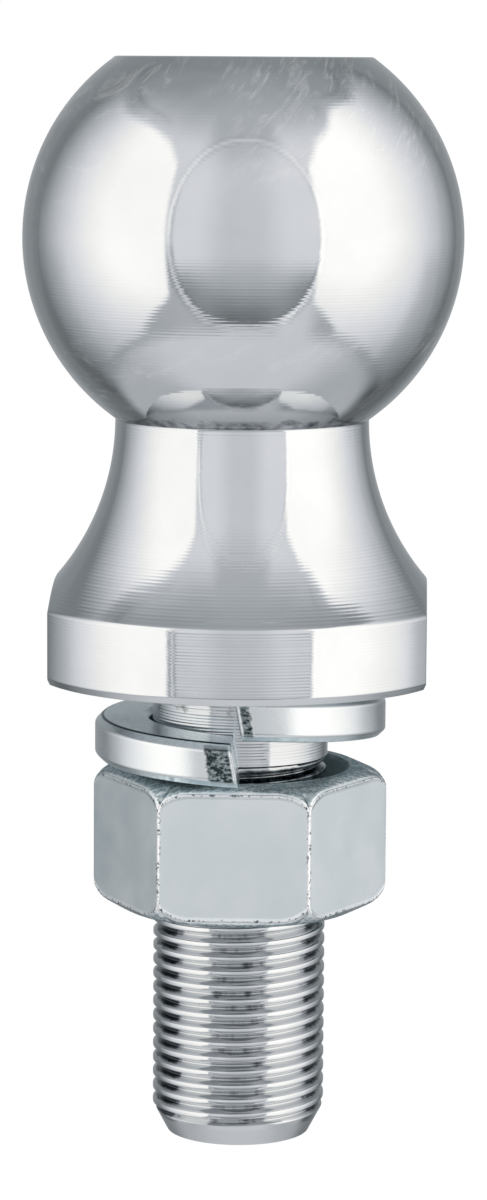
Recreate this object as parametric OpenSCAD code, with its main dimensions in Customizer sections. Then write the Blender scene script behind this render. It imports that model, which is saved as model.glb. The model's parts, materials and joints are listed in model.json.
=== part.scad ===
// Trailer hitch ball with its lock washer and nut, as it comes ready to clamp to a drawbar.
//
// Frame: millimetres, +Z up along the shank's axis. The origin is the centre of the collar's
// underside, the face that sits on the drawbar. The collar's wrench flats face +X and -X, and
// one face of the nut faces -Y.

/* [Ball] */
// Diameter of the ball
ball_d = 47.6; // [44:0.1:60]
// Diameter of the flat on top of the ball
ball_flat_d = 27.6; // [10:0.1:36]
// Height of the ball's centre above the collar's underside
ball_rise = 47.4; // [44:0.1:75]

/* [Neck and collar] */
// Diameter of the neck where it meets the ball
neck_d = 27.5; // [20:0.1:34]
// Diameter of the round collar
collar_d = 45.6; // [42:0.1:60]
// Height of the collar's upright band, its bevel included
collar_h = 8; // [4:0.1:14]
// Width across the collar's two wrench flats
collar_af = 40.5; // [35:0.1:42]
// Height of the bevel round the collar's lower edge
collar_bevel_h = 0.8; // [0.2:0.1:2]
// Width of the bevel round the collar's lower edge
collar_bevel_w = 0.4; // [0.2:0.1:1.5]

/* [Shank] */
// Length of the shank below the collar
shank_l = 51; // [40:0.1:90]
// Diameter of the shank's plain part
shank_d = 19.2; // [14:0.1:25]
// How far the thread's crests lie below the surface of the plain part
thread_drop = 0.15; // [0.05:0.05:0.5]
// Length of thread left bare between the plain part and the nut
thread_bare = 1.2; // [0.5:0.1:4]
// Height of the bevel at the shank's end
tip_bevel_h = 3; // [0.5:0.1:4]
// Width of the bevel at the shank's end
tip_bevel_w = 1.6; // [0.5:0.05:3]

/* [Lock washer] */
// Play between the shank and the washer, on each side
washer_play = 0.3; // [0.2:0.05:1]
// Width of the washer's bar, across the ring
washer_w = 6; // [3:0.1:9]
// Thickness of the washer's bar
washer_t = 4.8; // [2:0.1:7]
// How much higher one end of the bar stands than the other
washer_rise = 5.1; // [3:0.1:9]
// Bevel on the outer edges of the bar
washer_bevel = 0.8; // [0.2:0.05:0.9]
// Bevel on the inner edges of the bar
washer_inner_bevel = 0.5; // [0.1:0.05:0.9]
// Direction of the cut through the ring, in degrees from +X
cut_at = 271; // [0:1:359]
// Width of the cut
cut_gap = 0.2; // [0.2:0.1:3]
// Lean of the cut from upright, in degrees
cut_lean = 10.5; // [0:0.5:25]

/* [Nut] */
// Wall between the nut's bore and its flats
nut_wall = 4.55; // [3:0.05:9]
// Height of the nut
nut_h = 15.5; // [10:0.1:24]
// Play between the thread's crests and the nut's bore, on each side
nut_play = 0.05; // [0.02:0.01:0.1]
// How far the round of the corners is cut in from the sharp hexagon
corner_cut = 0.13; // [0.05:0.01:0.5]
// Slope of the chamfer from each end face down to the corners, in degrees
corner_slope = 30; // [15:1:40]
// Radius that rounds the chamfer into the corners
corner_round = 2.2; // [0.5:0.1:2.8]
// How far the round end face lies inside the flats
face_inset = 1.15; // [0.3:0.05:1.5]
// Width of the flat ring on each end face
face_ring = 0.8; // [0.3:0.05:1.4]
// Depth of the countersink at each end of the bore
sink_h = 2.1; // [0.5:0.1:3]

/* [Fits] */
// Gap where the washer sits against the collar, and the nut against the washer
seat_gap = 0.1; // [0.1:0.05:0.5]

/* [Hidden] */

$fn = 120;
eps = 1;                                        // extra length of a cutting tool past the part

// Ball, neck and collar
ball_r = ball_d / 2;
neck_r = neck_d / 2;
collar_r = collar_d / 2;
flat_z = ball_rise + chord_height(ball_r, ball_flat_d / 2);
neck_z = ball_rise - chord_height(ball_r, neck_r);
flare_r = arc_radius(neck_z - collar_h, collar_r - neck_r);

// Stack below the collar: washer, then nut
washer_h = washer_t + washer_rise;
nut_z = -(seat_gap + washer_h + seat_gap);      // top face of the nut
thread_z = nut_z + thread_bare;                 // where the plain part ends and the thread starts

thread_r = shank_d / 2 - thread_drop;
tip_r = thread_r - tip_bevel_w;

// Washer
washer_ir = shank_d / 2 + washer_play;
washer_or = washer_ir + washer_w;
WASHER_STEPS = 90;                              // steps round the ring

// Nut
bore_r = thread_r + nut_play;
nut_af = 2 * (bore_r + nut_wall);
nut_corner_r = nut_af / 2 / cos(30) - corner_cut;
nut_face_r = nut_af / 2 - face_inset;
sink_r = nut_face_r - face_ring;
round_r = nut_corner_r - corner_round;          // centre of the corner's arc, from the axis
round_z = (corner_round + (round_r - nut_face_r) * sin(corner_slope)) / cos(corner_slope);
slope_r = round_r + corner_round * sin(corner_slope);   // where the chamfer runs into the arc
slope_z = round_z - corner_round * cos(corner_slope);

// Height of a circle's rim above its centre, at the distance x from its axis.
function chord_height(r, x) = sqrt(r * r - x * x);

// Radius of the arc that leaves an upright line and moves dx sideways over the height dz.
function arc_radius(dz, dx) = (dz * dz + dx * dx) / (2 * dx);

// ---------------------------------------------------------------- ball stud

// Half outline of the turned stud, right of the axis.
module stud_outline() {
    // ball, from the neck up to the flat
    intersection() {
        translate([0, ball_rise]) circle(r = ball_r);
        translate([0, neck_z]) square([ball_r, flat_z - neck_z]);
    }
    // neck that flares out in one arc to the collar's upper edge
    difference() {
        translate([0, collar_h]) square([collar_r, neck_z - collar_h]);
        translate([neck_r + flare_r, neck_z]) circle(r = flare_r);
    }
    // collar
    polygon([
        [0, 0],
        [collar_r - collar_bevel_w, 0],
        [collar_r, collar_bevel_h],
        [collar_r, collar_h],
        [0, collar_h],
    ]);
    // shank: plain part, thread at its crests, bevelled end
    polygon([
        [0, 0],
        [0, -shank_l],
        [tip_r, -shank_l],
        [thread_r, -shank_l + tip_bevel_h],
        [thread_r, thread_z],
        [shank_d / 2, thread_z + thread_drop],
        [shank_d / 2, 0],
    ]);
}

module ball_stud() {
    color("gainsboro")
    difference() {
        rotate_extrude() stud_outline();
        // a wrench flat on each side, which runs out in the flare
        for (side = [0, 180])
            rotate([0, 0, side])
            translate([collar_af / 2, -collar_r, -eps])
            cube([collar_r, collar_d, neck_z + eps]);
    }
}

// -------------------------------------------------------------- lock washer

// Cross-section of the washer's bar as [distance from the axis, height] points, round from the
// lower inner edge. Every edge is bevelled.
bar_section = [
    [washer_ir, washer_inner_bevel],
    [washer_ir + washer_inner_bevel, 0],
    [washer_or - washer_bevel, 0],
    [washer_or, washer_bevel],
    [washer_or, washer_t - washer_bevel],
    [washer_or - washer_bevel, washer_t],
    [washer_ir + washer_inner_bevel, washer_t],
    [washer_ir, washer_t - washer_inner_bevel],
];
section_n = len(bar_section);

// A point of the section, set at the angle a and raised by z. The section leans sideways by
// cut_lean, so that its two end copies are the slanted faces of the cut.
function bar_point(p, a, z) =
    let (side = (washer_t / 2 - p[1]) * tan(cut_lean))
    [p[0] * cos(a) - side * sin(a), p[0] * sin(a) + side * cos(a), z + p[1]];

// A bar bent into one turn of a helix. Its height falls as it runs anticlockwise seen from
// above, so the sharp ends dig in when the nut tries to turn loose.
module lock_washer() {
    gap_angle = cut_gap / washer_ir * 180 / PI;
    turn = (360 - gap_angle) / WASHER_STEPS;
    drop = washer_rise / WASHER_STEPS;
    start = cut_at + gap_angle / 2;
    top_end_z = -(seat_gap + washer_t);
    points = [
        for (i = [0:WASHER_STEPS], p = bar_section)
            bar_point(p, start + i * turn, top_end_z - i * drop)
    ];
    last = WASHER_STEPS * section_n;
    skin = [
        for (i = [0:WASHER_STEPS - 1], j = [0:section_n - 1])
            let (
                a = i * section_n + j,
                b = i * section_n + (j + 1) % section_n,
                c = b + section_n,
                d = a + section_n
            )
            each [[a, b, c], [a, c, d]]
    ];
    first_end = [for (j = [1:section_n - 2]) [0, j + 1, j]];
    last_end = [for (j = [1:section_n - 2]) [last, last + j, last + j + 1]];
    color("lightsteelblue")
    polyhedron(points = points, faces = concat(skin, first_end, last_end));
}

// ------------------------------------------------------------------ hex nut

// Half outline of the turned form that gives the hexagon its chamfers and rounded corners.
module nut_outline() {
    polygon([
        [0, 0],
        [nut_face_r, 0],
        [slope_r, slope_z],
        [round_r, round_z],
        [nut_corner_r, round_z],
        [nut_corner_r, nut_h - round_z],
        [round_r, nut_h - round_z],
        [slope_r, nut_h - slope_z],
        [nut_face_r, nut_h],
        [0, nut_h],
    ]);
    for (z = [round_z, nut_h - round_z])
        translate([round_r, z]) circle(r = corner_round);
}

module hex_nut() {
    color("lightsteelblue")
    translate([0, 0, nut_z - nut_h])
    difference() {
        intersection() {
            cylinder(r = nut_af / 2 / cos(30), h = nut_h, $fn = 6);
            rotate_extrude() nut_outline();
        }
        translate([0, 0, -eps]) cylinder(r = bore_r, h = nut_h + 2 * eps);
        cylinder(r1 = sink_r, r2 = bore_r, h = sink_h);
        translate([0, 0, nut_h - sink_h]) cylinder(r1 = bore_r, r2 = sink_r, h = sink_h);
    }
}

ball_stud();
lock_washer();
hex_nut();
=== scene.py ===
# %% [markdown]
# # A trailer hitch ball, chrome on steel
#
# The object is one turned steel stud, with a chrome-plated ball, neck and collar over a threaded
# shank, and two zinc-plated fasteners: a split lock washer and a hex nut. The CAD model gives the
# sizes, the bodies and the joints. This lesson gives each piece a fine surface and a finish, and
# builds the studio that the chrome reflects.
#
# First the imported model is loaded, as a fixed frame to build around. Its box is kept, and
# gives the ball's reach and the heights of its top and its tip.

import json
import math
from functools import partial

import bmesh
import bpy
import numpy as np
from mathutils import Matrix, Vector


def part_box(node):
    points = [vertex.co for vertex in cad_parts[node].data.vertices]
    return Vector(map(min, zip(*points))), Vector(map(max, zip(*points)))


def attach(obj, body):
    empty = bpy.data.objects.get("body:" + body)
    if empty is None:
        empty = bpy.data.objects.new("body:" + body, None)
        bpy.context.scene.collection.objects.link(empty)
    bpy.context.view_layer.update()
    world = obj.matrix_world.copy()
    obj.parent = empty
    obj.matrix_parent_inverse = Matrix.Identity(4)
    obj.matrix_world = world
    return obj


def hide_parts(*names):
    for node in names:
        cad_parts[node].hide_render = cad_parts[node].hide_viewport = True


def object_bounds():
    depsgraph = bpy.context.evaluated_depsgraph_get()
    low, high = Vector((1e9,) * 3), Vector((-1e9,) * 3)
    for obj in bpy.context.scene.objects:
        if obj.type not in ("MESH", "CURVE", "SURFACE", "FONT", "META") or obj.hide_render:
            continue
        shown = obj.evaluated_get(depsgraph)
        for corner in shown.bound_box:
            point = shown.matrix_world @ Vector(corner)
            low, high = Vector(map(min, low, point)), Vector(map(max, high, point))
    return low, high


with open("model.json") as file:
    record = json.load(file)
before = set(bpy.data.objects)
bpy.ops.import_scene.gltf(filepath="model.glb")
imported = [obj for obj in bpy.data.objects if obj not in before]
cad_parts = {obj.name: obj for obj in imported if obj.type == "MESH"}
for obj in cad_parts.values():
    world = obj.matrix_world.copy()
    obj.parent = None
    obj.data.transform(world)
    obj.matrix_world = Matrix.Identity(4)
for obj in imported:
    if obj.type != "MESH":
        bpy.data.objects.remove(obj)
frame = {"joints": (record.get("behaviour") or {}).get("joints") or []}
cad_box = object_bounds()

MM = 0.001
print("CAD box in mm:", [[round(c / MM, 2) for c in corner] for corner in cad_box])

# %% [markdown]
# ## The camera
#
# Small steel parts are shot with a long lens, a little from above, so circles show as thin
# ellipses and the outline keeps its true shape. Blender's camera looks along its own -Z. Its
# matrix is built from three directions, right, up and backwards, which is plainer than three
# angles when the camera is also rolled a little.

# %% Camera
CAMERA_AIM = 8.04  # mm above the collar's underside
CAMERA_DISTANCE = 422.9  # mm from there to the camera
CAMERA_TURN = 2.5  # degrees to the right of straight in front
CAMERA_PITCH = 8.0  # degrees above the horizon
CAMERA_ROLL = 0.37  # degrees that its up direction leans to its left
CAMERA_SIDE_SHIFT = 0.27  # mm that the axis stands left of the middle of the view


def new_object(name, data):
    """An object for that camera, mesh or lamp, linked into the scene."""
    made = bpy.data.objects.new(name, data)
    bpy.context.collection.objects.link(made)
    return made


def facing(right, up, back, place):
    """A matrix whose columns are the directions right, up and backwards, and a place in metres."""
    matrix = np.eye(4)
    matrix[:3] = np.stack([right, up, back, place], axis=1)
    return Matrix(matrix.tolist())


camera_data = bpy.data.cameras.new("camera")
camera_data.lens = 116.25
camera_data.sensor_width = 36.0
camera_data.clip_start = 0.01
camera = new_object("camera", camera_data)

# it starts in front, on the -Y side, goes round by the turn and up by the pitch, and rolls
turn, pitch, roll = np.radians([CAMERA_TURN, CAMERA_PITCH, CAMERA_ROLL])
right = np.array([np.cos(turn), np.sin(turn), 0.0])
back = np.array([np.sin(turn) * np.cos(pitch), -np.cos(turn) * np.cos(pitch), np.sin(pitch)])
up = np.cross(back, right)
stand = (np.array([0, 0, CAMERA_AIM]) + CAMERA_SIDE_SHIFT * right + CAMERA_DISTANCE * back) * MM
rolled_right = right * np.cos(roll) + up * np.sin(roll)
rolled_up = up * np.cos(roll) - right * np.sin(roll)
camera.matrix_world = facing(rolled_right, rolled_up, back, stand)
bpy.context.scene.camera = camera
print("camera:", round(stand[2] / MM, 1), "mm up")

# %% [markdown]
# ## Surfaces from grids
#
# Every new piece is a surface on a grid: rows run along a profile and columns round the axis. All
# the points are worked out at once, as an array. Where a row shrinks to a point or two grids
# share an edge, the doubles are merged, so that the mesh is one watertight skin. Blender's own
# recalculation then points its normals outwards.

# %% Grids and skins
MERGE_AT = 0.002  # mm between points that count as one
SHARP_OVER = 50.0  # degrees between two faces that make their edge sharp


def polar(radius, angle, height):
    """Points from distance to the axis, angle in radians and height, in mm."""
    radius, angle, height = np.broadcast_arrays(radius, angle, height)
    return np.stack([radius * np.cos(angle), radius * np.sin(angle), height], axis=-1)


def grid_faces(rows, columns, first=0):
    """Quads of a grid: each takes a point, the next in its row, and the two in the row below."""
    index = first + np.arange(rows * columns).reshape(rows, columns)
    quads = [index[:-1, :-1], index[1:, :-1], index[1:, 1:], index[:-1, 1:]]
    return np.stack(quads, axis=-1).reshape(-1, 4)


def skin(name, grids, body, node):
    """One closed object from grids of points in mm. Each grid comes with a dict of values on its
    points, which become attributes, so that a finish can follow the shape."""
    points, faces, count = [], [], 0
    for grid, _ in grids:
        rows, columns = grid.shape[:2]
        points.append(grid.reshape(-1, 3) * MM)
        faces.append(grid_faces(rows, columns, count))
        count += rows * columns
    mesh = bpy.data.meshes.new(name)
    mesh.from_pydata(np.concatenate(points), [], np.concatenate(faces))
    for key in grids[0][1]:
        layer = mesh.attributes.new(key, "FLOAT", "POINT")
        values = [np.broadcast_to(extra[key], grid.shape[:2]).ravel() for grid, extra in grids]
        layer.data.foreach_set("value", np.concatenate(values).astype(np.float32))
    work = bmesh.new()
    work.from_mesh(mesh)
    bmesh.ops.remove_doubles(work, verts=work.verts, dist=MERGE_AT * MM)
    bmesh.ops.recalc_face_normals(work, faces=work.faces)
    open_edges = sum(1 for edge in work.edges if not edge.is_manifold)
    triangles = sum(len(face.verts) - 2 for face in work.faces)
    work.to_mesh(mesh)
    work.free()
    mesh.set_sharp_from_angle(angle=math.radians(SHARP_OVER))
    piece = new_object(name, mesh)
    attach(piece, body)
    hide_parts(node)
    print(name, "has", triangles, "triangles and", open_edges, "open edges")
    return piece


# %% Soft joins and rounded corners
def soft_min(first, second, width):
    """The smaller of two values, rounded over width where they cross: minus width times the log
    of the sum of the exponentials of minus each value over width."""
    return -width * np.logaddexp(-first / width, -second / width)


def step_up(value, low, high):
    """0 below low, 1 above high, and an S-shaped change between: three squares less two cubes."""
    part = np.clip((value - low) / (high - low), 0, 1)
    return part * part * (3 - 2 * part)


def hump(value, middle, width):
    """A bell-shaped hump: 1 at the middle, and the exponential of minus one a width away."""
    return np.exp(-((value - middle) / width) ** 2)


def mixed(first, second, part):
    """first where part is 0, second where it is 1, and a mix of the two between."""
    return first + (second - first) * part


def rounded(corner, before, after, size):
    """A corner of a profile, rounded by a quadratic Bezier curve from the distance size before it
    to the distance size after it. One point further out on each side keeps the shading of the
    flat parts flat. corner is an array of (distance, height) pairs, one for each column, and
    before and after are unit directions."""
    start, end = corner - size * before, corner + size * after
    row = [start - 0.25 * size * before]
    for t in (0.0, 0.25, 0.5, 0.75, 1.0):
        row.append((1 - t) ** 2 * start + 2 * t * (1 - t) * corner + t ** 2 * end)
    row.append(end + 0.25 * size * after)
    return np.stack(row)


def straight(start, end, steps):
    """Rows between two rows of a profile, both left out."""
    part = np.arange(1, steps + 1) / (steps + 1)
    return start + part[:, None, None] * (end - start)


# %% [markdown]
# ## Where the columns go
#
# Two upright edges bound each wrench flat, where it meets the round collar. An edge comes out
# clean if columns of the grid lie on it, so the columns are spread evenly, with a small cluster
# at every upright edge. There the radius changes from the round to the flat by a soft minimum,
# which rounds the edge as a file stroke would.

# %% Columns of the stud
def columns_between(edges, spacing, cluster):
    """Angles round the axis in degrees: evenly spaced between the edges, and at each edge the
    offsets in cluster. The first angle is repeated a full turn on, so the ring closes."""
    margin = max(cluster) * 1.6
    angles = []
    for start, end in zip(edges, np.append(edges[1:], edges[0] + 360.0)):
        inside = end - start - 2 * margin
        steps = int(round(inside / spacing))
        angles.append(start + np.asarray(cluster))
        angles.append(start + margin + np.linspace(0, inside, steps + 1))
    angles = np.concatenate(angles)
    return np.radians(np.append(angles, angles[0] + 360.0))


COLLAR_R = 22.8
COLLAR_FLAT = 20.25  # from the axis to each wrench flat

half_flat = math.degrees(math.acos(COLLAR_FLAT / COLLAR_R))
flat_edges = np.array([-half_flat, half_flat, 180 - half_flat, 180 + half_flat])
stud_angle = columns_between(flat_edges, 2.8, (-0.5, -0.2, 0.0, 0.2, 0.5))
to_flat = COLLAR_FLAT / np.maximum(np.abs(np.cos(stud_angle)), 1e-3)
collar_reach = soft_min(COLLAR_R, to_flat, 0.025)
print("stud:", len(stud_angle) - 1, "columns")

# %% [markdown]
# ## The stud's turned profile
#
# A lathe cuts the ball, the neck and the collar in one pass, so they are one profile carried
# round the axis: rows of (distance, height) pairs, with one pair for each column. The neck flares
# in a single arc that leaves the ball upright and meets the collar's edge. At the wrench flats
# the arc ends earlier. Each column has its own end of the arc, which draws the crescent where
# flat and flare meet. Small rounds at the corners matter on chrome: each gathers a bright line.

# %% Ball
BALL_R = min(cad_box[1][0], cad_box[1][1]) / MM  # the CAD ball's own reach, 23.79
BALL_RISE = 47.4  # from the collar's underside up to the ball's centre
FLAT_R = 13.8  # the flat on top
FLAT_Z = cad_box[1][2] / MM
NECK_R = 13.75
TOP_ROUND, NECK_ROUND = 0.22, 0.2
CLEAR_OF_CORNER = 0.02  # radians of the ball left to the rounds at its two ends


def ring(r, z, columns=collar_reach):
    """Rows of (distance, height) pairs, with a pair for each of the columns."""
    return np.stack(np.broadcast_arrays(r, z, columns)[:2], axis=-1)


def way(dr, dz, columns=collar_reach):
    """Unit directions, one for each column."""
    return ring(dr, dz, columns) / np.hypot(dr, dz)[..., None]


top = math.asin(FLAT_R / BALL_R)
low = math.pi - math.asin(NECK_R / BALL_R)
neck_z = BALL_RISE + BALL_R * math.cos(low)
down_ball = np.linspace(top + CLEAR_OF_CORNER, low - CLEAR_OF_CORNER, 76)[:, None]
rows = [
    ring(np.array([0, 2.5, 5, 7.5, 10, 12.2])[:, None], FLAT_Z),
    rounded(ring(FLAT_R, FLAT_Z), way(1, 0), way(math.cos(top), -math.sin(top)), TOP_ROUND),
    ring(BALL_R * np.sin(down_ball), BALL_RISE + BALL_R * np.cos(down_ball)),
    rounded(ring(NECK_R, neck_z), way(math.cos(low), -math.sin(low)), way(0, -1), NECK_ROUND),
]
print("ball: radius", round(BALL_R, 2), "mm, down to the neck at", round(neck_z, 2), "mm")

# %% Flare
COLLAR_H = 8.0
CREASE = 0.3  # round where the flare meets the collar or a flat
ARC_START = 0.3  # mm down the flare, clear of the round at the neck
CLEAR = 1.6  # how far a straight part stays off a round, in its size

drop, spread = neck_z - COLLAR_H, COLLAR_R - NECK_R
flare_r = (drop ** 2 + spread ** 2) / (2 * spread)
end = np.arccos((NECK_R + flare_r - collar_reach) / flare_r)
arc_part = np.linspace(0, 1, 34)[:, None]
arc = (ARC_START + arc_part * (end * flare_r - ARC_START - CLEAR * CREASE)) / flare_r
rows.append(ring(NECK_R + flare_r * (1 - np.cos(arc)), neck_z - flare_r * np.sin(arc)))
flare_z = neck_z - flare_r * np.sin(end)
edge = ring(collar_reach, flare_z)
rows.append(rounded(edge, way(np.sin(end), -np.cos(end)), way(0, -1), CREASE))
print("flare: radius", round(flare_r, 1), "mm, up to", round(flare_z.max(), 1), "mm on a flat")

# %% Collar and plain shank
BEVEL_H, BEVEL_W = 0.8, 0.4  # round the collar's lower edge
FLAT_BEVEL_W = 0.3  # under a flat, with the same slope
BEVEL_ROUND, SHANK_FILLET = 0.1, 0.22
SHANK_R = 9.6
CREST_R = 9.45
THREAD_TOP = -8.9

# the flats cut most of the turned bevel away, and have a smaller one filed on
bevel_w = np.maximum(collar_reach - (COLLAR_R - BEVEL_W), FLAT_BEVEL_W)
upper = ring(collar_reach, bevel_w * BEVEL_H / BEVEL_W)
lower = ring(collar_reach - bevel_w, 0)
band_top = ring(collar_reach, flare_z - CLEAR * CREASE)
slant = way(-BEVEL_W, -BEVEL_H)
root = ring(SHANK_R, 0)
rows += [
    straight(band_top, upper + np.array([0, 0.2]), 5),
    rounded(upper, way(0, -1), slant, BEVEL_ROUND),
    rounded(lower, slant, way(-1, 0), BEVEL_ROUND),
    straight(lower, root + np.array([0.6, 0]), 5),
    rounded(root, way(-1, 0), way(0, -1), SHANK_FILLET),
    straight(root - np.array([0, 0.4]), ring(SHANK_R, THREAD_TOP + 0.3), 10),
    # the step down to the thread's crests
    ring(np.array([SHANK_R, CREST_R + 0.15, CREST_R])[:, None],
         THREAD_TOP + np.array([0.22, 0.15, 0])[:, None]),
]
profile = np.concatenate(rows)
turned = polar(profile[..., 0], stud_angle, profile[..., 1])
print("turned part:", len(turned), "rows")

# %% [markdown]
# ## The screw thread
#
# A 3/4-16 thread has sixty-degree flanks and climbs 1.5875 mm in each turn. On an ordinary grid
# its crest would cut across the rows and look jagged, so here the whole grid climbs with it: each
# row is a helix. The rows sit close together at the crest's and the root's edges. Those that
# would pass the thread's end are held at its height, where they are merged. The bevel at the
# shank's end cuts the last turn off.

# %% Shape of one turn
PITCH = 25.4 / 16
DEPTH = 0.8  # crest to root
CREST_HALF = 0.25  # half the width of the crest's flat
FLANK = math.tan(math.radians(60))  # how steeply a sixty-degree thread's flank falls
THREAD_ROUND = 0.03


def thread_depth(phase):
    """How far below the crest the thread lies. phase counts turns, and is whole at a crest. The
    depth is zero on the crest's flat, falls along the flank, and stops at the root."""
    off = np.abs(phase - np.round(phase)) * PITCH
    below_crest = -soft_min(FLANK * (CREST_HALF - off), 0.0, THREAD_ROUND)
    return soft_min(below_crest, DEPTH, THREAD_ROUND)


half_phases = np.array([0.0, 0.125, 0.155, 0.185, 0.3, 0.42, 0.46])
turn_phases = np.concatenate([half_phases, 1 - half_phases[:0:-1]])
print("thread: depth", DEPTH, "mm, with", len(turn_phases), "rows to a turn")

# %% Grid that climbs with the thread
def helix_grid(angle, top, bottom):
    """Heights and thread phases of a grid that climbs with the thread. Each row is a helix, and
    rows past top or bottom are held there. angle is each column's angle."""
    phases = np.sort((turn_phases - (THREAD_TOP - top) / PITCH - angle[0] / (2 * math.pi)) % 1.0)
    turns = int(math.ceil((top - bottom) / PITCH)) + 2
    row_phase = np.append(0.0, (np.arange(turns)[:, None] + phases).ravel())
    climb = (angle - angle[0]) / (2 * math.pi)
    height = np.clip(top + PITCH * (climb - row_phase[:, None]), bottom, top)
    phase = (THREAD_TOP - height) / PITCH + angle / (2 * math.pi)
    return height, phase


TIP_Z = cad_box[0][2] / MM
TIP_R = 7.85
TIP_BEVEL_H = 3.0
RUN_IN, RUN_OUT = 0.8, 0.9  # over which the thread gets its full depth at its ends
RUN_OUT_END = 1.9  # from the tip up to where the thread has run out

height, phase = helix_grid(stud_angle, THREAD_TOP, TIP_Z)
run_in = np.clip((THREAD_TOP - height) / RUN_IN, 0, 1)
run_out = np.clip((height - TIP_Z - RUN_OUT_END) / RUN_OUT, 0, 1)
depth_here = run_in * run_out * thread_depth(phase)
tip_bevel = TIP_R + (height - TIP_Z) * (CREST_R - TIP_R) / TIP_BEVEL_H
thread = polar(soft_min(CREST_R - depth_here, tip_bevel, 0.02), stud_angle, height)
tip_rows = np.array([TIP_R, TIP_R - 0.1, 5.5, 3.0, 0.0])[:, None]
tip = polar(tip_rows, stud_angle, TIP_Z)
print("thread:", len(thread), "rows,", round((THREAD_TOP - TIP_Z) / PITCH, 1), "turns")

# %% [markdown]
# ## What the finish follows
#
# The lathe leaves fine rings. They are polished away on the upper ball, show more and more
# towards the neck, less on the band, and most on the plain shank. Four values on the stud's
# points tell the finish: "rings" how deep the marks are, "inward" how many mm a place lies in
# from the rim of a faced end, where the rings lie one inside the other, "satin" how rough an
# unpolished place is, and the fourth how much painted shade darkens the plate there: in the
# thread's roots and at its sides, on the thread in the nut, on the shank under the collar and in
# the corner under the ball. The faced top is a little darker too.

# %% Marks and gloss of the turned part
turned_r, turned_z = profile[..., 0], profile[..., 1]
faced_top = turned_z > FLAT_Z - 0.02
faced_under = (np.abs(turned_z) < 0.02) & (turned_r > SHANK_R + 0.3)
on_band = (turned_z < COLLAR_H - 0.4) & (turned_r > COLLAR_FLAT - 0.6)
below_collar = step_up(-turned_z, 0.1, 0.5)

ball_rings = 0.1 + 0.3 * step_up(-turned_z, -50, -36)
ball_rings = ball_rings * (1 - 0.75 * step_up(-turned_z, -34.5, -31.5))
neck_rings = 0.2 + 0.4 * step_up(-turned_z, -20, -9) + 0.5 * step_up(turned_z, 24.5, 27.5)
rings = np.where(turned_z > 28.2, ball_rings, neck_rings)
for place, how_deep in ((on_band, 0.3), (turned_z < -0.3, 2.6), (faced_under, 1.2), (faced_top, 1.5)):
    rings = np.where(place, how_deep, rings)
inward = faced_top * (FLAT_R - turned_r) + faced_under * (COLLAR_R - turned_r)
satin = below_collar + 4.0 * faced_top
# painted shade: the shank is darker just under the collar, and less further down
painted_shank_shade = below_collar * np.interp(-turned_z, [0, -THREAD_TOP], [0.5, 0.15])
# painted shade darkens the corner under the ball, and the faced top is a little darker
painted_neck_shade_and_dark_top = 0.5 * (turned_z > 27.9) * (1 - step_up(turned_z, 28.4, 30.4)) + 0.3 * faced_top
print("rings: from", round(rings.min(), 2), "on the ball to", rings.max(), "on the shank")

# %% Painted shade on the thread, and the stud's skin
# painted shade: the thread is darker in its roots, a little more in front, most at the two sides as the
# camera sees them and less at the back, and on the thread inside the nut
off_front = (np.degrees(stud_angle) + 90 - CAMERA_TURN + 180) % 360 - 180
turned_away = np.abs(off_front)
at_sides = np.where(off_front < 0, step_up(turned_away, 38, 58), 0.8 * step_up(turned_away, 44, 66))
at_sides = at_sides * (1 - 0.6 * step_up(turned_away, 90, 125))
in_front = 1 - step_up(turned_away, 17, 24)
in_nut = step_up(-height, 8.7, 9.3) * (0.6 - 0.5 * step_up(-height, 11.5, 14.0))
in_nut = in_nut * (1 - step_up(-height, 23.0, 27.0))
painted_shade = np.clip(depth_here / DEPTH, 0, 1) ** 0.7 * (0.2 + 0.28 * in_front + 0.8 * at_sides)
painted_shade = np.maximum(painted_shade, in_nut)
on_bevel = step_up(TIP_Z + 2.2 - height, 0.0, 0.5)

ball_stud = skin("ball_stud_turned", [
    (turned, {"rings": rings, "inward": inward, "satin": satin, "painted_shade": painted_shank_shade + painted_neck_shade_and_dark_top}),
    (thread, {"rings": 0.4, "inward": 0.0, "satin": 1.0 + 9.0 * on_bevel, "painted_shade": painted_shade}),
    (tip, {"rings": 0.8, "inward": TIP_R - tip_rows, "satin": 9.0, "painted_shade": 0.0}),
], "ball_stud", "ball_stud")

# %% [markdown]
# ## The hex nut
#
# A nut is forged or cut from hexagon bar and then turned at both ends, which rounds its corners
# down into the end faces. So the height of a side, in each column, follows from how far the
# hexagon reaches there, which gives every side its curved upper edge. The corners are rounded a
# little more than a drawing says, as by tumbling in the plating barrel. Inside, a thread on the
# shank's helix runs between the countersinks, with a little play.

# %% Columns of the nut
NUT_HALF_AF = 14.05  # from the axis to each side
NUT_CORNER_R = 16.09
EDGE_DROP = 0.92  # from the end face down to the middle of a side's upper edge
CORNER_DROP = 2.3  # from there down to the top of the edge between two sides
LEVEL_PART = 0.57  # part of a side, from its middle, whose upper edge is level

nut_angle = columns_between(np.arange(0, 360, 60.0), 3.0, (-1.5, -0.9, -0.45, 0.0, 0.45, 0.9, 1.5))
from_middle = np.abs((np.degrees(nut_angle) % 60) - 30)
this_side = NUT_HALF_AF / np.cos(np.radians(from_middle))
next_side = NUT_HALF_AF / np.cos(np.radians(60 - from_middle))
nut_reach = soft_min(soft_min(this_side, next_side, 0.07), NUT_CORNER_R, 0.05)
across_side = np.tan(np.radians(from_middle)) / math.tan(math.radians(30))
into_corner = np.clip((across_side - LEVEL_PART) / (1 - LEVEL_PART), 0, 1)
side_drop = EDGE_DROP + CORNER_DROP * (1 - np.sqrt(1 - 0.98 * into_corner ** 2))
print("nut:", len(nut_angle) - 1, "columns; a corner starts", round(side_drop.max(), 1), "mm down")

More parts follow.
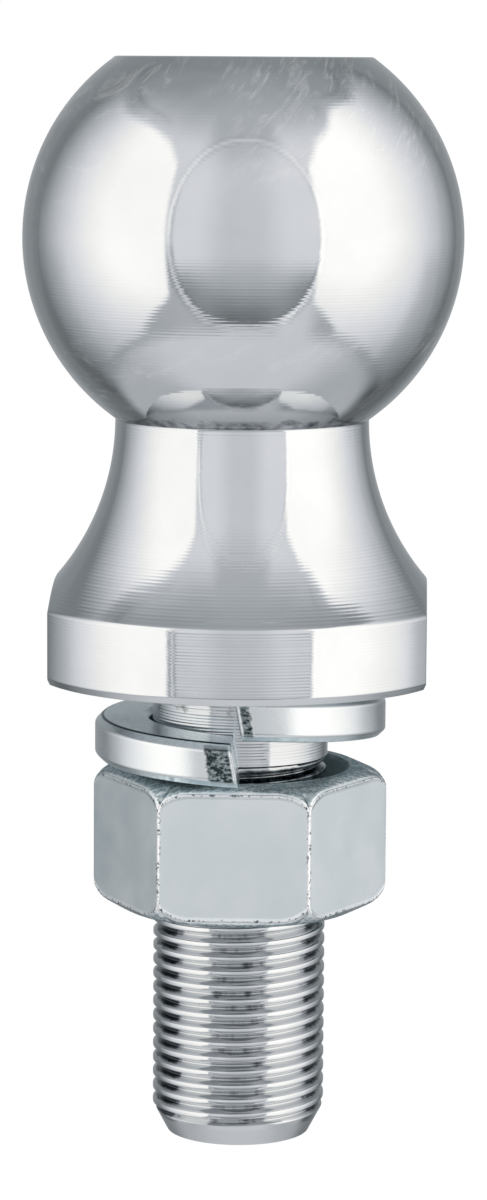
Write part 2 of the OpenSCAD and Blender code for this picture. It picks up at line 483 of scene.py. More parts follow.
# %% [markdown]
# Both ends of the nut are alike, so half a profile is enough, measured as depth below the end
# face. It runs from the countersink over the face, the forged shoulder and half a side. On the
# shoulder a turn goes from 0 to 90 degrees. The distance grows with the turn's sine and the depth
# with its sine plus one minus its cosine, so the shoulder leaves the face at a shallow slope and
# arrives upright. Each row also gets a number for how worn it is.

# %% Nut from half a profile
NUT_TOP = -10.1
NUT_H = 15.5
NUT_FACE_R = 12.9  # where the end face ends and the shoulder starts
SINK_R = 12.1
SINK_H = 2.1
BORE_R = 9.5
SHOULDER_TURNS = [0, 9, 18, 27, 36, 45, 53, 60, 66, 71, 75, 78.5, 81.5, 84.5, 87, 90]

turn = np.radians(SHOULDER_TURNS)[:, None]
shoulder_r = NUT_FACE_R + (nut_reach - NUT_FACE_R) * np.sin(turn)
shoulder_depth = side_drop * (np.sin(turn) + 1 - np.cos(turn)) / 2
sink_bottom, sink_rim = ring(BORE_R, SINK_H, nut_reach), ring(SINK_R, 0, nut_reach)
side_start = ring(nut_reach, side_drop + np.array([0.1, 0.22, 0.4])[:, None], nut_reach)
half = np.concatenate([
    ring(np.array([[BORE_R], [BORE_R + 0.15]]), np.array([[SINK_H], [SINK_H - 0.12]]), nut_reach),
    straight(sink_bottom, sink_rim, 3),
    rounded(sink_rim, way(SINK_R - BORE_R, -SINK_H, nut_reach), way(1, 0, nut_reach), 0.12),
    ring(shoulder_r, shoulder_depth, nut_reach),
    side_start,
    straight(side_start[-1], ring(nut_reach, NUT_H / 2, nut_reach), 6),
])
# worn at the countersink's rim, and at the upper edge of the sides
half_worn = np.zeros(len(half))
half_worn[6:11] = [0.4, 0.6, 0.7, 0.6, 0.4]
half_worn[23:30] = [0.2, 0.5, 0.7, 0.7, 0.7, 0.7, 0.3]
nut_r = np.concatenate([half, half[::-1]])[..., 0]
nut_z = np.concatenate([NUT_TOP - half[..., 1], NUT_TOP - NUT_H + half[::-1, :, 1]])
nut_outside = polar(nut_r, nut_angle, nut_z)
print("nut:", len(half), "rows in half a profile; it reaches", round(nut_r.max(), 2), "mm")

# %% Nut's bore and skin
BORE_PLAY = 0.07  # mm from the shank's thread to the nut's
BORE_CREST_R = 8.7  # where the nut's own crests are cut off

bore_top, bore_bottom = NUT_TOP - SINK_H, NUT_TOP - NUT_H + SINK_H
bore_height, bore_phase = helix_grid(nut_angle, bore_top, bore_bottom)
thread_bore = np.maximum(CREST_R + BORE_PLAY - thread_depth(bore_phase), BORE_CREST_R)
from_end = np.minimum(bore_top - bore_height, bore_height - bore_bottom)
sink_cone = BORE_R - from_end * (SINK_R - BORE_R) / SINK_H
bore = polar(np.maximum(np.minimum(thread_bore, BORE_R), sink_cone), nut_angle, bore_height)

edge_worn = np.concatenate([half_worn, half_worn[::-1]])[:, None]
corner_worn = hump(from_middle, 30, 0.9) * step_up(nut_r - nut_reach, -0.5, -0.1)
nut_dome = 1 - step_up(nut_r, nut_reach - 0.3, nut_reach - 0.05)
nut_sink = 1 - step_up(nut_r, SINK_R - 0.5, SINK_R + 0.1)
hex_nut = skin("hex_nut_forged", [
    (nut_outside, {"worn": np.maximum(edge_worn, corner_worn), "dome": nut_dome, "sink": nut_sink}),
    (bore, {"worn": 0.0, "dome": 0.0, "sink": 1.0}),
], "hex_nut", "hex_nut")

# %% [markdown]
# ## The split lock washer
#
# The washer is a bar of spring steel, coiled and cut at a slant, so that its ends stand apart and
# dig in when the nut tries to turn loose. Its section is carried round one turn of a helix. The
# section's bevelled corners are rounded a little more, as by the barrel, and both ends get a fine
# chamfer. The bar falls faster in the first half of its turn, so it sags a little at the back.
# Attributes keep each point's distance from the cut and whether it lies on the outer face, so
# the finish can put the marks of the cutting jaws next to the cut.

# %% Section of the washer's bar
BAR_INNER, BAR_OUTER, BAR_T = 9.9, 15.9, 4.8
BAR_BEVEL, BAR_INNER_BEVEL = 0.8, 0.5
BAR_ROUND = 0.22

# round from the lower inner corner, outwards first
inner_r, outer_r = BAR_INNER + BAR_INNER_BEVEL, BAR_OUTER - BAR_BEVEL
corners = np.array([
    [BAR_INNER, BAR_INNER_BEVEL], [inner_r, 0], [outer_r, 0], [BAR_OUTER, BAR_BEVEL],
    [BAR_OUTER, BAR_T - BAR_BEVEL], [outer_r, BAR_T], [inner_r, BAR_T], [BAR_INNER, BAR_T - BAR_INNER_BEVEL],
])
to_next = np.roll(corners, -1, axis=0) - corners
to_next = to_next / np.linalg.norm(to_next, axis=1, keepdims=True)
section = rounded(corners, np.roll(to_next, 1, axis=0), to_next, BAR_ROUND)
corner_points = len(section)
section = section.transpose(1, 0, 2).reshape(-1, 2)
print("washer: section of", len(section), "points round a bar", BAR_T, "mm thick")

# %% One turn of the bar
BAR_TOP = -0.1 - BAR_T  # lower side of the bar at its upper end
BAR_DROP = 5.1  # how much the bar falls in its turn
BAR_SAG = 1.2  # how much lower than an even fall the bar is at the back
CUT_AT = math.radians(271.0)
CUT_GAP = 0.2
CUT_LEAN = math.radians(10.0)  # of the cut, off upright
CHAMFER = 0.14  # round each end
HALF_BAR = 2.3  # from the section's middle to its sides, about

gap_angle = CUT_GAP / BAR_INNER
along = CUT_AT + gap_angle / 2 + np.linspace(0, 1, 181) * (2 * math.pi - gap_angle)
back_off = CHAMFER / BAR_OUTER
along = np.concatenate([along[:1], along[:1] + back_off, along[1:-1], along[-1:] - back_off, along[-1:]])
inset = np.ones((len(along), 1, 1))
inset[[0, -1]] = 1 - CHAMFER / HALF_BAR
middle = np.array([(BAR_INNER + BAR_OUTER) / 2, BAR_T / 2])
swept = middle + (section - middle) * inset
lean = (BAR_T / 2 - swept[..., 1]) * math.tan(CUT_LEAN)
part = ((along - along[0]) / (along[-1] - along[0]))[:, None]
fall = BAR_DROP * part + BAR_SAG * np.sin(np.pi * part) ** 2
bar_angle = along[:, None] + np.arctan2(lean, swept[..., 0])
bar = polar(np.hypot(swept[..., 0], lean), bar_angle, BAR_TOP + swept[..., 1] - fall)
bar = np.concatenate([bar, bar[:, :1]], axis=1)
print("washer: its lowest point is at", round(bar[..., 2].min(), 2), "mm")


# %% Ends and skin of the washer
def end_cap(edge):
    """Rows that shrink from the edge of one end of the bar to the middle of that end."""
    hub = edge.mean(axis=0)
    return hub + (edge - hub) * np.array([1.0, 0.5, 0.0])[:, None, None]


from_cut = BAR_OUTER * np.minimum(along - along[0], along[-1] - along)[:, None]
low_end = (along >= CUT_AT + math.pi)[:, None]
outer_face = step_up(np.hypot(bar[..., 0], bar[..., 1]), BAR_OUTER - 0.3, BAR_OUTER - 0.05)
# a dark line runs along the upper outer edge, the sixth corner, in the middle of its round
dark_line = np.zeros(bar.shape[1])
dark_line[5 * corner_points + 2:6 * corner_points - 2] = 1.0
plain = {"from_cut": 0.0, "low_end": 0.0, "outer": 0.0, "dark_line": 0.0}
lock_washer = skin("lock_washer_coiled", [
    (bar, {"from_cut": from_cut, "low_end": low_end, "outer": outer_face, "dark_line": dark_line}),
    (end_cap(bar[0]), plain),
    (end_cap(bar[-1])[::-1], plain),
], "lock_washer", "lock_washer")

# %% [markdown]
# ## Nodes and colours
#
# A finish is a small tree of nodes. One function adds a node, sets it and links it, so each
# material reads as a list of what it is made of. Colours are written as they look on a screen,
# as sRGB hex, and one function turns them into the linear values that light is computed in.

# %% Nodes, colours and scales
def linear(hex_colour):
    """An sRGB hex colour as linear red, green, blue and alpha."""
    parts = np.array([int(hex_colour[i:i + 2], 16) for i in (1, 3, 5)]) / 255
    low = parts / 12.92
    high = ((parts + 0.055) / 1.055) ** 2.4
    return (*np.where(parts <= 0.04045, low, high).tolist(), 1.0)


def add_node(tree, kind, inputs=(), output=None, **settings):
    """Adds a node of that kind. inputs are what its sockets get, by name or in order: a value, a
    hex colour or an output to link to. settings are the node's own properties. It returns the
    output of that name, or else the first one in use."""
    new = tree.nodes.new("ShaderNode" + kind)
    for key, value in settings.items():
        setattr(new, key, value)
    for key, value in inputs.items() if isinstance(inputs, dict) else enumerate(inputs):
        if isinstance(value, bpy.types.NodeSocket):
            tree.links.new(value, new.inputs[key])
        else:
            new.inputs[key].default_value = linear(value) if isinstance(value, str) else value
    if output:
        return new.outputs[output]
    return next((out for out in new.outputs if out.enabled), None)


def start_nodes(owner):
    """Empties the node tree of a material or a world, and gives the function that adds to it."""
    owner.use_nodes = True
    owner.node_tree.nodes.clear()
    return partial(add_node, owner.node_tree)


def between(low, high, out_low=0.0, out_high=1.0):
    """Settings for a Map Range node's sockets: low and high go to out_low and out_high."""
    return {"From Min": low, "From Max": high, "To Min": out_low, "To Max": out_high}


def per_mm(size):
    """Noise scale that gives features of that size in millimetres, as one cell is one unit."""
    return 1.0 / (size * MM)


print("colours: #808080 is", round(linear("#808080")[0], 3), "in linear light")

# %% [markdown]
# ## Bright chrome plate over turned steel
#
# Chrome plate is a film a few thousandths of a millimetre thick. It copies the steel under it, so
# it is nearly a mirror where the ball was polished, and shows the lathe's marks elsewhere. The
# eye reads it from reflections alone: crisp on the ball, combed where the marks throw light up
# and down. Two patterns make the marks: the tool's feed, a sine wave of 0.33 mm along the axis,
# and its chatter, a noise squeezed to 0.36 mm along the axis and stretched to centimetres round
# it. On a faced end both run inwards instead of up.

# %% Chrome: marks of the tool
FEED = 0.33  # mm that the lathe's tool moved on in each turn
CHATTER = 0.36
MARK_DEPTH = 0.02  # mm

chrome = bpy.data.materials.new("bright_chrome_plate_on_turned_steel")
add = start_nodes(chrome)
place = add("TexCoord", output="Object")
rings, inward, satin, painted_shade = [
    add("Attribute", output="Fac", attribute_name=key)
    for key in ("rings", "inward", "satin", "painted_shade")
]
split = add("SeparateXYZ", (place,)).node.outputs
up = split["Z"]
tool_way = add("Math", (inward, MM, up), operation="MULTIPLY_ADD")
tool_at = add("CombineXYZ", {"X": split["X"], "Y": split["Y"], "Z": tool_way})
wave_at = add("Math", (tool_way, 2 * math.pi / (FEED * MM)), operation="MULTIPLY")
wave = add("Math", (wave_at,), operation="SINE")
patches_at = add("Mapping", {"Vector": tool_at, "Scale": (60.0, 60.0, per_mm(2.5))})
patches = add("TexNoise", {"Vector": patches_at, "Scale": 1.0})
feed_deep = add("MapRange", {"Value": patches, **between(0.35, 0.65, 0.06, 0.28)})
feed = add("Math", (wave, feed_deep), operation="MULTIPLY")
chatter_at = add("Mapping", {"Vector": tool_at, "Scale": (9.0, 9.0, per_mm(CHATTER))})
chatter = add("TexNoise", {"Vector": chatter_at, "Scale": 1.0, "Detail": 0.6})
marks = add("Math", (feed, chatter), operation="ADD")
marks = add("Math", (marks, rings), operation="MULTIPLY")
bump = add("Bump", {"Height": marks, "Distance": MARK_DEPTH * MM})
print("chrome: feed marks", FEED, "mm apart, chatter", CHATTER, "mm, depth", MARK_DEPTH, "mm")

# %% [markdown]
# The polishing wheel leaves a slight swirl and faint clouds in the gloss. Polish that dried,
# mostly round the top of the ball and a little above its neck, leaves slanting smears of about
# 5 mm by 0.9 mm. It is a thin white film that scatters some light, so it makes the plate
# slightly rougher and slightly less metallic.

# %% Chrome: swirl, clouds and smears
SMEAR = (5 * MM, 5 * MM, 0.9 * MM)
SMEAR_TURN = (0.3, math.radians(-38), 0.2)

swirl = add("TexNoise", {"Vector": place, "Scale": per_mm(2.2), "Detail": 3.0, "Distortion": 1.2})
bump = add("Bump", {"Height": swirl, "Distance": 0.006 * MM, "Normal": bump})
clouds = add("TexNoise", {"Vector": place, "Scale": per_mm(9.0), "Detail": 5.0, "Roughness": 0.55})
smears_at = add("Mapping", {"Vector": place, "Rotation": SMEAR_TURN, "Scale": SMEAR},
                vector_type="TEXTURE")
smears = add("TexNoise", {"Vector": smears_at, "Scale": 1.0, "Detail": 4.0, "Roughness": 0.65,
                          "Distortion": 1.3})
smears = add("MapRange", {"Value": smears, **between(0.5, 0.72)})
smeared = add("MapRange", {"Value": clouds, **between(0.42, 0.57)})
near_top = add("MapRange", {"Value": up, **between(50 * MM, 57 * MM, 0.12, 1.0)})
near_neck = add("MapRange", {"Value": up, **between(37 * MM, 40 * MM, 0.8, 0.0)})
off_neck = add("MapRange", {"Value": up, **between(28 * MM, 31 * MM)})
smears_here = add("Math", (near_top, near_neck), operation="ADD")
for part in (off_neck, smeared, smears):
    smears_here = add("Math", (smears_here, part), operation="MULTIPLY")
gloss = add("MapRange", {"Value": clouds, **between(0.35, 0.7, 0.035, 0.09)})
rough = add("Math", (smears_here, 0.04, gloss), operation="MULTIPLY_ADD")
rough = add("Math", (satin, 0.03, rough), operation="MULTIPLY_ADD")
metal = add("MapRange", {"Value": smears_here, **between(0.0, 1.0, 1.0, 0.8)})
print("chrome: roughness 0.035 to 0.09, and 0.03 more where it is as turned")

# %% Chrome: colour and painted shade
tone = add("MapRange", {"Value": clouds, **between(0.3, 0.7)})
plate = add("Mix", {"Factor": tone, "A": "#D6D9DB", "B": "#DEE0E2"}, data_type="RGBA")
# painted shade, evenly and in dark blotches, most in the roots of the thread: the value on the points says
# how much
blotch = add("TexNoise", {"Vector": place, "Scale": per_mm(1.6), "Detail": 5.0, "Roughness": 0.6})
painted_shade_blotches = add("Math", (blotch, painted_shade), operation="ADD")
painted_shade_blotches = add("MapRange", {"Value": painted_shade_blotches, **between(0.95, 1.2)})
painted_shade_part = add("Math", (painted_shade, 0.65), operation="MULTIPLY")
plate = add("Mix", {"Factor": painted_shade_part, "A": plate, "B": "#787E82"}, data_type="RGBA")
colour = add("Mix", {"Factor": painted_shade_blotches, "A": plate, "B": "#4A5054"}, data_type="RGBA")
shader = add("BsdfPrincipled", {"Base Color": colour, "Metallic": metal, "Roughness": rough,
                                "Normal": bump})
add("OutputMaterial", {"Surface": shader})
ball_stud.data.materials.append(chrome)
print("chrome:", len(chrome.node_tree.nodes), "nodes")

# %% [markdown]
# ## Zinc plate with a clear blue passivate
#
# The nut and the washer are plated with zinc in a turning barrel and dipped in a blue passivate.
# The eye sees a satin, slightly blue grey, much softer than chrome. The barrel rubs the edges
# bare and bright, and the tumbled shoulders keep a fine speckle. The satin's grain is about
# 0.15 mm, drawn as coarse as 0.3 mm, so that it shows. Both finishes share the plate and add
# their own marks: worn edges on the nut, and torn patches where the jaws held the washer.

# %% Zinc plate
NUT_ROUGH, WASHER_ROUGH = 0.36, 0.26
GRAIN = 0.3  # mm


def start_zinc(name, tint_low, tint_high, roughness):
    """The plate that both finishes share: the material, the function that adds to it, the place
    on the object, the colour, the roughness and the height of the grain."""
    material = bpy.data.materials.new(name)
    add = start_nodes(material)
    place = add("TexCoord", output="Object")
    bloom = add("TexNoise", {"Vector": place, "Scale": per_mm(7.0), "Detail": 4.0, "Roughness": 0.6})
    grain = add("TexNoise", {"Vector": place, "Scale": per_mm(GRAIN)})
    tone = add("MapRange", {"Value": bloom, **between(0.3, 0.7)})
    colour = add("Mix", {"Factor": tone, "A": tint_low, "B": tint_high}, data_type="RGBA")
    to_rough = between(0.3, 0.7, roughness - 0.04, roughness + 0.04)
    rough = add("MapRange", {"Value": bloom, **to_rough})
    return material, add, place, colour, rough, grain


def finish_zinc(piece, material, colour, rough, grain, bump, grain_deep, tint="#FFFFFF"):
    """The end of both finishes: the grain over the larger bumps, and the shader."""
    add = partial(add_node, material.node_tree)
    bump = add("Bump", {"Height": grain, "Distance": grain_deep * MM, "Normal": bump})
    shader = add("BsdfPrincipled", {"Base Color": colour, "Metallic": 1.0, "Roughness": rough,
                                    "Normal": bump, "Specular Tint": tint})
    add("OutputMaterial", {"Surface": shader})
    piece.data.materials.append(material)
    print(material.name, "has", len(material.node_tree.nodes), "nodes")


print("zinc: grain drawn", GRAIN, "mm coarse")

# %% Nut: colour and wear
SCRATCH = (2.2 * MM, 0.35 * MM, 0.6 * MM)

nut_zinc, add, place, colour, rough, grain = start_zinc(
    "zinc_plate_blue_passivate_nut", "#F1F9FB", "#FAFEFF", NUT_ROUGH)
worn, dome, sink = [
    add("Attribute", output="Fac", attribute_name=key) for key in ("worn", "dome", "sink")
]
speck = add("TexNoise", {"Vector": place, "Scale": per_mm(0.42), "Detail": 3.0, "Roughness": 0.65})
scratch_at = add("Mapping", {"Vector": place, "Rotation": (0.2, 0.1, 0.5), "Scale": SCRATCH},
                 vector_type="TEXTURE")
scratch = add("TexNoise", {"Vector": scratch_at, "Scale": 1.0, "Detail": 4.0, "Roughness": 0.7,
                           "Distortion": 0.4})
# worn edges: bright metal, broken by dark specks where the plate still sits in pits
pits = add("MapRange", {"Value": speck, **between(0.54, 0.63)})
edge = add("Mix", {"Factor": pits, "A": "#FFFFFF", "B": "#5F6B71"}, data_type="RGBA")
rubbed = add("Math", (speck, scratch), operation="ADD")
dull = add("MapRange", {"Value": rubbed, **between(0.9, 1.1)})
shoulder = add("Mix", {"Factor": dull, "A": "#FAFDFD", "B": "#B4C2C6"}, data_type="RGBA")
body = add("Mix", {"Factor": dome, "A": colour, "B": shoulder}, data_type="RGBA")
# painted shade: the countersinks and the bore are darker
body = add("Mix", {"Factor": sink, "A": body, "B": "#A8B4B6"}, data_type="RGBA")
# a faint trace of wear everywhere on the shoulder, and full wear on the edges
trace = add("Math", (dome, 0.3, speck), operation="MULTIPLY_ADD")
ragged = add("Math", (worn, trace), operation="ADD")
wear = add("MapRange", {"Value": ragged, **between(0.95, 1.15)})
painted = add("Mix", {"Factor": wear, "A": body, "B": edge}, data_type="RGBA")
print("nut: specks 0.42 mm across, on edges and shoulders")

# %% Nut: lumps and shader
lumps = add("Math", (dome, worn), operation="ADD")
lumps = add("Math", (lumps, rubbed), operation="MULTIPLY")
bump = add("Bump", {"Height": lumps, "Distance": 0.08 * MM})
rough = add("Math", (sink, 0.22, rough), operation="MULTIPLY_ADD")
# the passivate takes some light away where a face is seen at a slant, as on the two side faces
finish_zinc(hex_nut, nut_zinc, painted, rough, grain, bump, 0.004, "#8AA0AA")

# %% Washer: colour and the jaws' patches
washer_zinc, add, place, colour, rough, grain = start_zinc(
    "zinc_plate_blue_passivate_washer", "#E1E5E7", "#E9EDEE", WASHER_ROUGH)
from_cut, low_end, outer, dark_line = [
    add("Attribute", output="Fac", attribute_name=key)
    for key in ("from_cut", "low_end", "outer", "dark_line")
]
crumble = add("TexNoise", {"Vector": place, "Scale": per_mm(0.55), "Detail": 3.0, "Roughness": 0.7})
# off the outer face the plate is duller and bluer, with shallow pits
pits = add("MapRange", {"Value": crumble, **between(0.42, 0.62)})
pitted = add("Mix", {"Factor": pits, "A": "#F0FAFD", "B": "#DDEBF0"}, data_type="RGBA")
body = add("Mix", {"Factor": outer, "A": pitted, "B": colour}, data_type="RGBA")
# a dark line along the upper outer edge's round
body = add("Mix", {"Factor": dark_line, "A": body, "B": "#3E4A50"}, data_type="RGBA")
# where the jaws gripped: 3.1 mm from the cut at the lower end, 1.5 mm at the upper
reach = add("MapRange", {"Value": low_end, **between(0.0, 1.0, 1.5, 3.1)})
ragged = add("Math", (crumble, 0.9, from_cut), operation="MULTIPLY_ADD")
past = add("Math", (ragged, reach), operation="SUBTRACT")
inside = add("MapRange", {"Value": past, **between(0.2, 0.5, 1.0, 0.0)})
off_end = add("MapRange", {"Value": from_cut, **between(0.25, 0.5)})
patch = add("Math", (inside, off_end), operation="MULTIPLY")
patch = add("Math", (patch, outer), operation="MULTIPLY")
torn_at = add("Mapping", {"Vector": place, "Scale": (per_mm(0.7), per_mm(0.7), per_mm(0.35))})
torn = add("TexNoise", {"Vector": torn_at, "Scale": 1.0, "Detail": 4.0, "Roughness": 0.75})
chip = add("MapRange", {"Value": torn, **between(0.44, 0.6)})
marks = add("Mix", {"Factor": chip, "A": "#323D42", "B": "#B4C2C5"}, data_type="RGBA")
painted = add("Mix", {"Factor": patch, "A": body, "B": marks}, data_type="RGBA")
print("washer: torn up to 3.1 mm from the cut")

# %% Washer: torn metal and shader
rough = add("Math", (patch, 0.25, rough), operation="MULTIPLY_ADD")
off_face = add("MapRange", {"Value": outer, **between(0.0, 1.0, 0.08, 0.0)})
deep = add("Math", (patch, off_face), operation="MAXIMUM")
deep = add("Math", (deep, torn), operation="MULTIPLY")
bump = add("Bump", {"Height": deep, "Distance": 0.25 * MM})
finish_zinc(lock_washer, washer_zinc, painted, rough, grain, bump, 0.005)

# %% [markdown]
# ## The studio
#
# Metal has almost no look of its own, so what stands round it matters as much as the finish.
# Chrome is lit in a light tent: white cloth at the left and the right, which fades towards the
# back, a darker opening in front where the camera is, and a grey roof. Here the tent is one
# closed surface. Its brightness is worked out in numpy from the direction in which the ball sees
# each point, given by two angles in degrees: the turn away from the camera's side, and the rise
# above the horizon. The room's greys come first.

# %% Greys of the room
def room_grey(side, rise, right):
    """How bright the room is where no cloth hangs. side is the turn without its sign, and right is
    true to the camera's right. The roof is lighter in front, the back darker and the ground
    lighter again, and a haze lies over the front. Each takes over by an S-shaped change."""
    to_front = step_up(-side, -110, -25)
    roof = 0.30 + 0.20 * to_front - 0.07 * to_front * step_up(rise, 62, 80)
    roof = roof + 0.045 * step_up(side, 45, 70) * (1 - step_up(side, 112, 135))
    roof = mixed(roof, 0.38, step_up(rise, 76, 90))
    back = 0.28 + 0.08 * step_up(side, 148, 172) - 0.10 * step_up(-rise, 8, 38)
    back = back - 0.04 * hump(side, 137, 5)
    grey = mixed(roof, back, step_up(side, 118, 138) * step_up(-rise, -70, -45))
    haze_top = 60 + 10 * step_up(side, 16, 32)
    haze = 0.28 * (1 - step_up(side, 85, 115)) * (1 - step_up(rise, 44, haze_top))
    haze = haze * step_up(rise, -12, 12) * (0.3 + 0.7 * step_up(side, 16, 32))
    low_haze = step_up(side, 12, 26) * (1 - step_up(side, 36, 52)) * step_up(-rise, 8, 26)
    grey = grey + haze + 0.2 * right * low_haze
    ground = 0.67 - 0.18 * step_up(side, 55, 105)
    return mixed(grey, ground, step_up(-rise, 41, 49))


print("room: ground at the right", round(float(room_grey(90, -60, True)), 2))


# %% Cloth walls
def cloth_walls(side, rise, right):
    """Where the walls hang, from 0 to 1, how bright they are, and how far under their crown a
    direction is. A wall hangs where the distances from its edges are all positive, in degrees,
    with corners rounded by a soft minimum. Its light fades towards the back and downwards."""
    start = np.where(right, 38.3, 39.4) + 0.6 * (rise / 30) ** 2
    crown = np.where(right, 48 + 8 * hump(side, 87, 20), 45 + 4.5 * hump(side, 74, 24))
    crown_corner = ((side - 39) * 16 - (rise - 36) * 18) / 24
    under_crown = soft_min(crown - rise, crown_corner, 1.5)
    over_foot = rise + 42.5 - 4.0 * step_up(side, 100, 140)
    foot_corner = ((side - start) * 18 + (rise + np.where(right, 28.5, 26)) * 32) / 36
    within = soft_min(soft_min(side - start, foot_corner, 1.2), over_foot, 1.2)
    wall = step_up(within, -1.5, 2.0) * step_up(under_crown, -2.5, 2.5)
    wall = wall * (1 - step_up(side, np.where(right, 140, 130), np.where(right, 146, 136)))
    peak, far = np.where(right, 60.0, 54.0), np.where(right, 144.0, 134.0)
    fade = np.clip((side - peak) / (far - peak), 0, 1)
    light = 1.3 * (1 - 0.86 * fade ** 1.45) * (1 - 0.4 * np.clip(-rise / 42, 0, 1) ** 1.6)
    return wall, soft_min(light, np.where(right, 1.21, 1.15), 0.03), under_crown


print("walls: straight to the right", round(float(cloth_walls(90, 0, True)[1]), 2))


# %% Opening for the camera
def camera_opening(turn, rise):
    """How bright the opening is, and how many degrees a direction lies outside it. The opening is
    a rounded rectangle: with the offsets from its middle in parts of its half sizes, its edge is
    where their powers of 2.5 add up to one. It darkens upwards, and most downwards."""
    above = (rise - 4.5) / np.where(rise > 4.5, 46.5, 46.0)
    reach = (np.abs((turn - 1.5) / 38.0) ** 2.5 + np.abs(above) ** 2.5) ** 0.4
    screen = 0.67 + 0.12 * step_up(np.abs(turn), 6, 26) - 0.10 * step_up(rise, 34, 50)
    screen = screen - 0.14 * step_up(-rise, 5, 17)
    screen = screen - 0.34 * step_up(reach, 0.4, 1.0) * step_up(-rise, 8, 24)
    return screen, (reach - 1) * 40


print("opening: in its middle", round(float(camera_opening(0, 0)[0]), 2))

# %% [markdown]
# The three parts are laid over one another, with the cloth's folded hem round the opening and a
# thin seam above the walls. Each point of the tent gets the result as a value, and glows by it.
# The tent shows only in reflections.

# %% Brightness of the tent
TENT_LEVEL = 1.17


def tent_brightness(turn, rise):
    """How bright the tent is. turn is from -180 to 180 degrees, positive to the camera's right."""
    side, right = np.abs(turn), turn > 0
    wall, wall_light, under_crown = cloth_walls(side, rise, right)
    value = mixed(room_grey(side, rise, right), wall_light, wall)
    # low down at the sides and behind, the room is a little darker, most at the right
    low_back = 1 - step_up(side, np.where(right, 150, 126), np.where(right, 165, 140))
    low_back = low_back * step_up(side, 100, 114) * step_up(-rise, 0, 12) * (1 - step_up(-rise, 38, 52))
    value = value * (1 - np.where(right, 0.18, 0.10) * low_back)
    screen, outside = camera_opening(turn, rise)
    value = mixed(value, screen, 1 - step_up(outside, -0.8, 0.8))
    hem = 0.26 * hump(outside, 1.6, 0.9) - 0.16 * hump(outside, 0, 0.8) - 0.12 * hump(outside, 3.4, 0.8)
    hem = hem * (1 - 0.7 * wall) * (1 - 0.5 * step_up(rise, 10, 40))
    dark_line = 0.07 * hump(under_crown, -6, 1.2) * step_up(side, 55, 70) * (1 - step_up(side, 125, 140))
    return TENT_LEVEL * (value + hem - dark_line)


tent_turn = np.append(np.arange(-60, 60, 0.5), np.arange(60, 300.1, 2.0))
tent_rise = [np.arange(90, 60, -3.0), np.arange(60, -60, -0.6), np.arange(-60, -90.1, -3.0)]
tent_rise = np.concatenate(tent_rise)[:, None]
tent_light = tent_brightness((tent_turn + 180) % 360 - 180, tent_rise)
print("tent: brightness from", round(tent_light.min(), 2), "to", round(tent_light.max(), 2))


# %% Light tent
def stage_surface(name, points, material):
    """A surface of the studio, from a grid of points in mm."""
    mesh = bpy.data.meshes.new(name)
    mesh.from_pydata(points.reshape(-1, 3) * MM, [], grid_faces(*points.shape[:2]))
    mesh.materials.append(material)
    return new_object(name, mesh)


TENT_R = 1100.0

tent_material = bpy.data.materials.new("tent_cloth")
add = start_nodes(tent_material)
glow = add("Attribute", output="Fac", attribute_name="light")
# the shaded parts of a studio are a little bluer than its lit cloth
lit = add("MapRange", {"Value": glow, **between(0.2, 0.9)})
cloth = add("Mix", {"Factor": lit, "A": "#EFF7FC", "B": "#FCFCFF"}, data_type="RGBA")
hot = add("MapRange", {"Value": glow, **between(0.95, 1.2)})
cloth = add("Mix", {"Factor": hot, "A": cloth, "B": "#FFFCF8"}, data_type="RGBA")
light = add("Emission", {"Color": cloth, "Strength": glow})
add("OutputMaterial", {"Surface": light})

rise = np.radians(tent_rise)
tent_angle = np.radians(tent_turn - 90 + CAMERA_TURN)
tent_points = polar(TENT_R * np.cos(rise), tent_angle, BALL_RISE + TENT_R * np.sin(rise))
tent = stage_surface("light_tent", tent_points, tent_material)
layer = tent.data.attributes.new("light", "FLOAT", "POINT")
layer.data.foreach_set("value", tent_light.ravel().astype(np.float32))
for ray in ("camera", "diffuse", "shadow", "transmission"):
    setattr(tent, "visible_" + ray, False)
print("tent:", len(tent.data.vertices), "points")

# %% [markdown]
# The floor and the world are plain white to the camera and in reflections. The floor keeps a
# soft shadow under the object, from two area lamps and the world's plain light. Its underside is
# clear, so the object can be looked at from below.

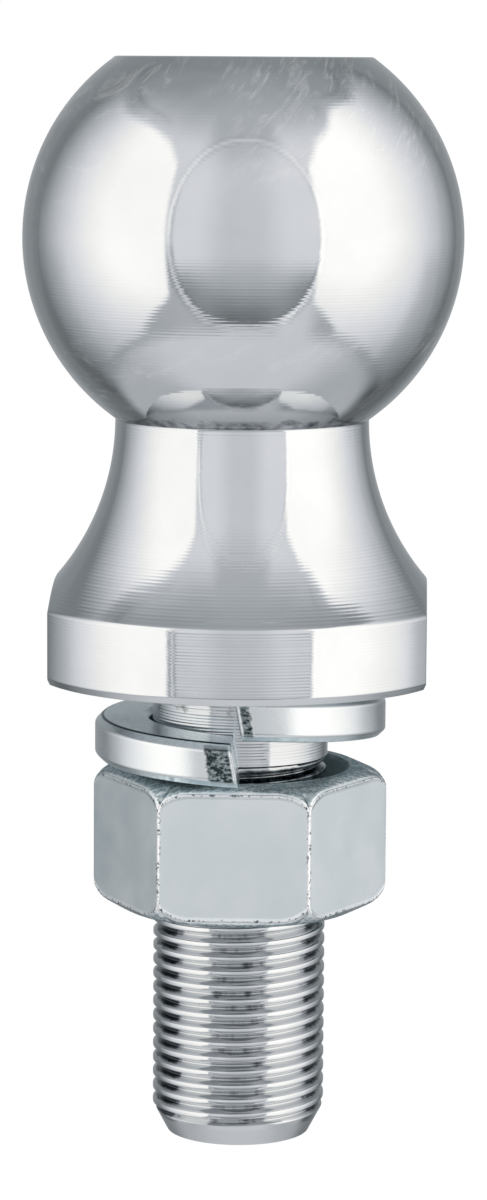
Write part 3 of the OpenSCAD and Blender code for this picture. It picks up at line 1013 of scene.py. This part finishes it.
# %% Floor
def sees_background(add):
    """1 for camera rays and for rays that metal or glass sends on, and 0 for the rest."""
    path = add("LightPath").node.outputs
    seen = add("Math", (path["Is Camera Ray"], path["Is Glossy Ray"]), operation="MAXIMUM")
    return add("Math", (seen, path["Is Transmission Ray"]), operation="MAXIMUM")


floor_material = bpy.data.materials.new("pale_paper_floor")
add = start_nodes(floor_material)
place = add("TexCoord", output="Object")
distance = add("VectorMath", (place,), output="Value", operation="LENGTH")
shadow_part = add("MapRange", {"Value": distance, **between(0.05, 0.2, 0.3, 0.0)})
paper = add("BsdfDiffuse", {"Color": "#F4F4F4"})
white = add("Emission", {"Color": "#FFFFFF"})
shown = add("MixShader", (shadow_part, white, paper))
surface = add("MixShader", (sees_background(add), paper, shown))
underside = add("NewGeometry", output="Backfacing")
clear = add("BsdfTransparent")
surface = add("MixShader", (underside, surface, clear))
add("OutputMaterial", {"Surface": surface})

# it lies 1 mm under the nut's lowest place, where the nut has come off the stud
slide = next(joint for joint in frame["joints"] if joint["name"] == "washer_slide")
floor_z = (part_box("hex_nut")[0][2] - slide["range_m"][1]) / MM - 1.0
floor_r = np.array([0, 20, 60, 150, 400, 1600.0])[:, None]
floor = stage_surface("floor", polar(floor_r, np.radians(np.linspace(0, 360, 97)), floor_z), floor_material)
floor.visible_glossy = False
print("floor:", round(floor_z, 1), "mm up")

# %% World and lamps
world = bpy.data.worlds.new("studio")
bpy.context.scene.world = world
add = start_nodes(world)
fill = add("Background", {"Color": "#FFFFFF", "Strength": 0.55})
white = add("Background", {"Color": "#FFFFFF"})
sky = add("MixShader", (sees_background(add), fill, white))
add("OutputWorld", {"Surface": sky})

# two square lamps face the object's middle, one from each side
for name, stand in (("softbox_left", (-0.75, -0.25, 0.55)), ("softbox_right", (0.75, -0.25, 0.55))):
    lamp_data = bpy.data.lights.new(name, "AREA")
    lamp_data.energy = 7.0
    lamp_data.size = 0.7
    lamp = new_object(name, lamp_data)
    back = np.array(stand) / np.linalg.norm(stand)
    right = np.cross([0, 0, 1.0], back)
    right = right / np.linalg.norm(right)
    lamp.matrix_world = facing(right, np.cross(back, right), back, stand)
    lamp.visible_glossy = False
    print(name, "gives", lamp_data.energy, "W")

bpy.context.scene.view_settings.view_transform = "Standard"
